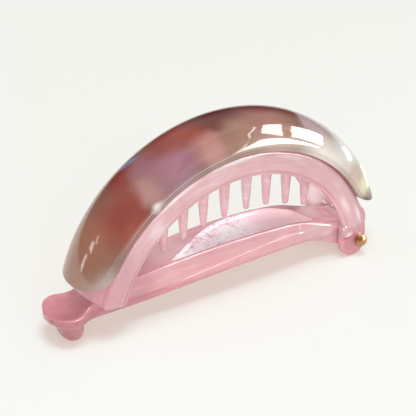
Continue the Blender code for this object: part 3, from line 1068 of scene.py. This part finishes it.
FLOOR_HALF = 1500
FLOOR_Z = -0.05
SKY = ((0.0, (0.10, 0.09, 0.09)), (0.25, (0.16, 0.15, 0.15)), (0.6, (0.8, 0.8, 0.8)))
SKY_STRENGTH = 0.65
WHITE = (1.0, 0.98, 0.97)
WINDOWS = (
    # name, brightness, colour, rows of points in millimetres
    ("strip", 15.0, WHITE, (((720, -640, 520), (-60, -840, 640)), ((560, -200, 880), (-40, -360, 960)))),
    ("branch_high", 8.0, WHITE, (((600, -185, 707), (532, -455, 630)), ((581, -194, 721), (512, -464, 639)))),
    ("branch_middle", 8.0, WHITE, (
        ((532, -455, 630), (502, -657, 429)),
        ((512, -464, 639), (492, -691, 379)),
    )),
    ("branch_low", 8.0, WHITE, (((502, -657, 429), (460, -767, 215)), ((492, -691, 379), (449, -790, 93)))),
    ("branch_foot", 8.0, WHITE, (((460, -767, 215), (415, -807, 0)), ((449, -790, 93), (416, -800, -65)))),
    ("glint", 7.0, (0.92, 1.0, 1.0), (((273, 36, 32), (251, 100, 1)), ((276, -38, 14), (277, 20, 6)))),
    ("gold", 4.0, (1.0, 0.90, 0.50), (((88, 27, 8), (81, 34, 1)), ((101, -2, 5), (83, 33, 1)))),
    ("small_low", 4.0, WHITE, (((-858, 382, -8), (-806, 477, 24)), ((-860, 346, 169), (-816, 444, 144)))),
    ("small_mid", 5.0, WHITE, (((-827, 397, 212), (-812, 386, 284)), ((-891, 237, 204), (-858, 259, 299)))),
    ("small_high", 4.0, WHITE, (((-864, 236, 303), (-824, 290, 362)), ((-878, 165, 314), (-841, 221, 375)))),
    ("window_left", 12.0, WHITE, (
        ((646, -137, 674), (706, -103, 616), (759, -68, 553)),
        ((619, -318, 634), (675, -330, 565), (734, -311, 498)),
        ((598, -461, 556), (642, -509, 450), (685, -539, 329)),
    )),
    ("window_right", 11.0, WHITE, (
        ((803, -78, 483), (868, -29, 356), (912, 8, 220)),
        ((777, -295, 436), (846, -260, 311), (895, -199, 195)),
        ((720, -522, 276), (775, -487, 170), (830, -414, 97)),
    )),
    ("window_sill", 12.5, WHITE, (
        ((430, -799, 1), (468, -772, 152), (552, -668, 329), (625, -621, 293),
         (694, -576, 220), (740, -546, 125), (787, -493, 42)),
        ((431, -795, 1), (463, -774, 1), (496, -755, 1), (529, -738, 1),
         (569, -713, 1), (646, -653, 1), (761, -529, 12)),
    )),
)
PINK_ONLY_WINDOW = "strip"

# Lights; no light shows in glossy surfaces, because the windows above make the highlights
CLIP_MIDDLE = (0, 0, 0.02)
DAYLIGHT = (1.0, 0.99, 0.98)
SOFT_WHITE = (1.0, 0.98, 0.98)
LIGHTS = (
    # name, place, aim, size and power in metres and watts, colour, what it lights, what alone may block it
    ("top", (-0.10, 0.35, 1.5), CLIP_MIDDLE, (0.7, 0.7), 12.0, DAYLIGHT, "whole_clip", None),
    ("ground", (-0.05, -0.31, 1.5), CLIP_MIDDLE, (0.6, 0.6), 12.0, DAYLIGHT, "floor_only", None),
    ("fill", (-0.35, -1.25, 0.55), CLIP_MIDDLE, (1.6, 1.0), 9.0, DAYLIGHT, None, None),
    ("through", (-0.3, -0.75, 0.95), CLIP_MIDDLE, (1.0, 1.0), 6.0, (1.0, 0.97, 0.97),
     "both_jaws", "floor_only"),
    ("side", (-1.2, -0.3, 0.25), CLIP_MIDDLE, (0.8, 0.5), 5.0, SOFT_WHITE, "jaw_only", "floor_only"),
    ("inner", (0.043, -0.003, 0.012), (0.042, 0.0076, 0.0125), (0.008, 0.008), 0.0008, SOFT_WHITE,
     "jaw_only", "floor_only"),
    ("over", (0.0, 0.1, 1.2), CLIP_MIDDLE, (1.0, 1.0), 4.0, SOFT_WHITE, "bar_only", "floor_only"),
)


def build_floor():
    corners = ((-1, -1), (1, -1), (1, 1), (-1, 1))
    points = [(x * FLOOR_HALF, y * FLOOR_HALF, FLOOR_Z) for x, y in corners]
    floor = mesh_object("floor", points, [(0, 1, 2, 3)])
    floor.data.materials.append(new_material("floor", FLOOR_SETTINGS)[0])
    return floor


def build_sky():
    world = bpy.data.worlds.new("studio")
    bpy.context.scene.world = world
    world.use_nodes = True
    shader = Shader(world.node_tree)
    background = world.node_tree.nodes["Background"]
    height = shader.split(shader.add("TexCoord").outputs["Generated"])[2]
    shader.feed(background.inputs["Color"], shader.ramp(height, *SKY))
    background.inputs["Strength"].default_value = SKY_STRENGTH


def build_windows(both_jaws):
    """Far panes of light that only show as reflections in glossy surfaces."""
    for name, strength, colour, rows in WINDOWS:
        points = [point for row in rows for point in row]
        pane = mesh_object(name, points, grid_faces(len(rows), len(rows[0])))
        material = bpy.data.materials.new(name)
        material.use_nodes = True
        shader = Shader(material.node_tree)
        shader.nodes.remove(shader.nodes["Principled BSDF"])
        glow = shader.add("Emission")
        shader.feed(glow.inputs["Color"], colour)
        shader.feed(glow.inputs["Strength"], strength)
        shader.feed(shader.nodes["Material Output"].inputs["Surface"], glow.outputs[0])
        pane.data.materials.append(material)
        pane.visible_camera = False
        pane.visible_diffuse = False
        pane.visible_transmission = False
        pane.visible_shadow = False
        if name == PINK_ONLY_WINDOW:
            pane.light_linking.receiver_collection = both_jaws


def build_lights(groups):
    for name, place, aim, size, power, colour, lit, blocker in LIGHTS:
        data = bpy.data.lights.new(name, "AREA")
        data.shape = "RECTANGLE"
        data.size, data.size_y = size
        data.energy = power
        data.color = colour
        light = bpy.data.objects.new(name, data)
        bpy.context.scene.collection.objects.link(light)
        light.location = place
        light.rotation_euler = (Vector(aim) - Vector(place)).to_track_quat("-Z", "Y").to_euler()
        light.visible_glossy = False
        if lit:
            light.light_linking.receiver_collection = groups[lit]
        if blocker:
            light.light_linking.blocker_collection = groups[blocker]


def build_camera():
    turn, lift = radians(VIEW_AZIMUTH), radians(VIEW_ELEVATION)
    back = Vector((-sin(turn) * cos(lift), -cos(turn) * cos(lift), sin(lift)))
    right = Vector((cos(turn), -sin(turn), 0))
    up = back.cross(right)
    target = Vector(VIEW_TARGET) * MM
    target += right * (IMAGE_PX / 2 - VIEW_TARGET_PX[0]) / VIEW_PX_PER_MM * MM
    target -= up * (IMAGE_PX / 2 - VIEW_TARGET_PX[1]) / VIEW_PX_PER_MM * MM
    data = bpy.data.cameras.new("camera")
    data.sensor_width = SENSOR_MM
    data.lens = VIEW_FOCAL_PX / IMAGE_PX * SENSOR_MM
    data.clip_start = 0.01
    camera = bpy.data.objects.new("camera", data)
    bpy.context.scene.collection.objects.link(camera)
    camera.location = target + back * VIEW_FOCAL_PX / VIEW_PX_PER_MM * MM
    camera.rotation_euler = back.to_track_quat("Z", "Y").to_euler()
    bpy.context.scene.camera = camera


# The clip

def dress(item, node, body, slot, *materials):
    for material in materials:
        item.data.materials.append(material)
    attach(item, body)
    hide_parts(node)


def group(name, *items):
    """Collection that lights use to pick what they light or what blocks them."""
    collection = bpy.data.collections.new(name)
    for item in items:
        collection.objects.link(item)
    return collection


cover = build_cover()
dress(cover, "cover", "upper", "marbled_plastic", cover_material())

jaw = build_upper_jaw()
milky_pink = pink_material("milky_pink", JAW_PINKS, JAW_TINTS, JAW_PAINTED_LIGHT, True, JAW_CLEAR)
dress(jaw, "upper_jaw", "upper", "pink_plastic", milky_pink)

bar = build_lower_jaw()
clear_pink = pink_material("clear_pink", BAR_PINKS, BAR_TINTS, BAR_PAINTED_LIGHT, False, BAR_CLEAR)
dress(bar, "lower_jaw", "lower", "pink_plastic", clear_pink, frosted_material())
mark_dish(bar)

rivet = build_rivet()
dress(rivet, "hinge_pin", "lower", "copper_metal", new_material("copper_rivet", COPPER_SETTINGS)[0])

floor = build_floor()
build_sky()
light_groups = {
    "whole_clip": group("whole_clip", bar, jaw, cover, rivet),
    "both_jaws": group("both_jaws", bar, jaw),
    "jaw_only": group("jaw_only", jaw),
    "bar_only": group("bar_only", bar),
    "floor_only": group("floor_only", floor),
}
build_windows(light_groups["both_jaws"])
build_lights(light_groups)
build_camera()
bpy.context.scene.view_settings.view_transform = "Standard"
